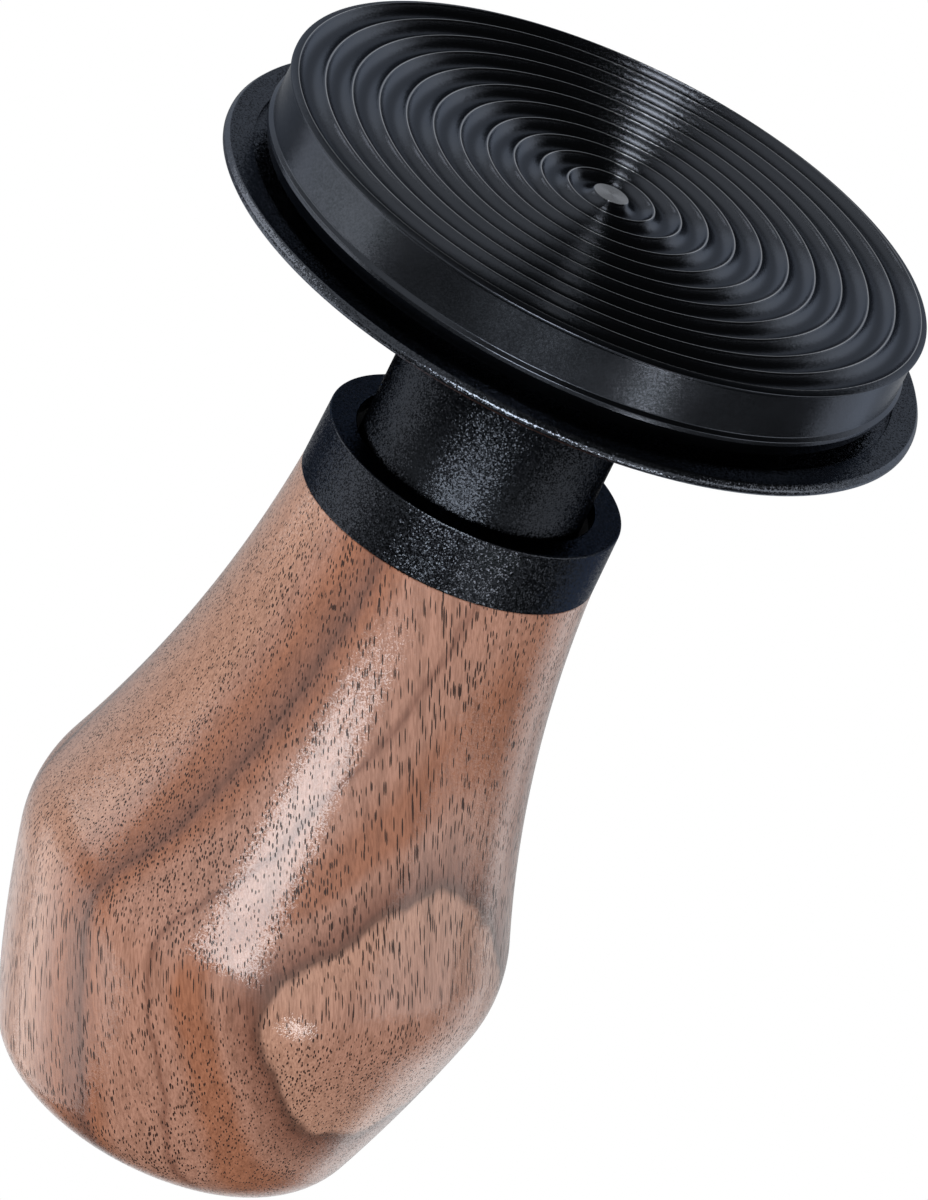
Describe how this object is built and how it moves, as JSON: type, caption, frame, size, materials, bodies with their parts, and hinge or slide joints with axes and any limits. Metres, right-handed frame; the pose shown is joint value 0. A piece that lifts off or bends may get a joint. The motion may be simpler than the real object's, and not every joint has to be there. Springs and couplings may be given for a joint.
{
  "type": "espresso tamper",
  "caption": "Espresso tamper: ripple-faced round base, spring-loaded levelling plate on a straight neck, collar, and a turned wooden handle that sinks onto a calibrated main spring.",
  "frame": {"origin": "centre of the rippled tamping face, which the tamper stands on", "axes": "+Z along the axis from the tamping face up to the handle's round end; the key pins lie along +X"},
  "size_m": [0.0638, 0.0638, 0.0958],
  "materials": {
    "anodised_black": "satin black anodised over fine bead blasting, turned ripple face",
    "walnut": "turned walnut under satin varnish",
    "steel": "ground stainless steel",
    "black_steel": "black oxide",
    "spring_steel": "drawn spring wire",
    "clear_aluminium": "clear anodised",
    "bronze": "sintered bronze",
    "acetal": "machined acetal",
    "silicone": "matte silicone",
    "urethane": "translucent amber, satin",
    "felt": "pressed wool felt"
  },
  "bodies": {
    "base": {"ripple_base": "anodised_black", "centre_shaft": "steel", "base_shim": "steel", "bumper_ring": "silicone", "return_washer": "steel", "circlip": "steel", "return_spring": "spring_steel", "stop_washer": "urethane", "main_spring_seat": "steel", "main_spring": "spring_steel"},
    "levelling_plate": {"levelling_plate": "anodised_black", "neck_sleeve": "anodised_black", "guide_bush": "acetal", "plate_screws": "black_steel", "sleeve_key_pin": "steel"},
    "handle": {"collar": "anodised_black", "wiper_ring": "felt", "neck_guide_ring": "acetal", "spring_housing": "clear_aluminium", "handle_bush": "bronze", "handle_key_pin": "steel", "spring_top_washer": "steel", "preload_cap": "clear_aluminium", "retaining_screw": "steel", "thread_insert": "bronze", "wood_handle": "walnut"}
  },
  "joints": [
    {"name": "plate_lift", "type": "slide", "parent": "base", "child": "levelling_plate", "axis": [0, 0, 1], "range_m": [0, 0.012], "stiffness_N_per_m": 380, "springref_m": -0.012, "deforming": ["return_spring"]},
    {"name": "handle_press", "type": "slide", "parent": "base", "child": "handle", "axis": [0, 0, -1], "range_m": [0, 0.005], "stiffness_N_per_m": 13200, "springref_m": -0.005, "deforming": ["main_spring"]}
  ]
}
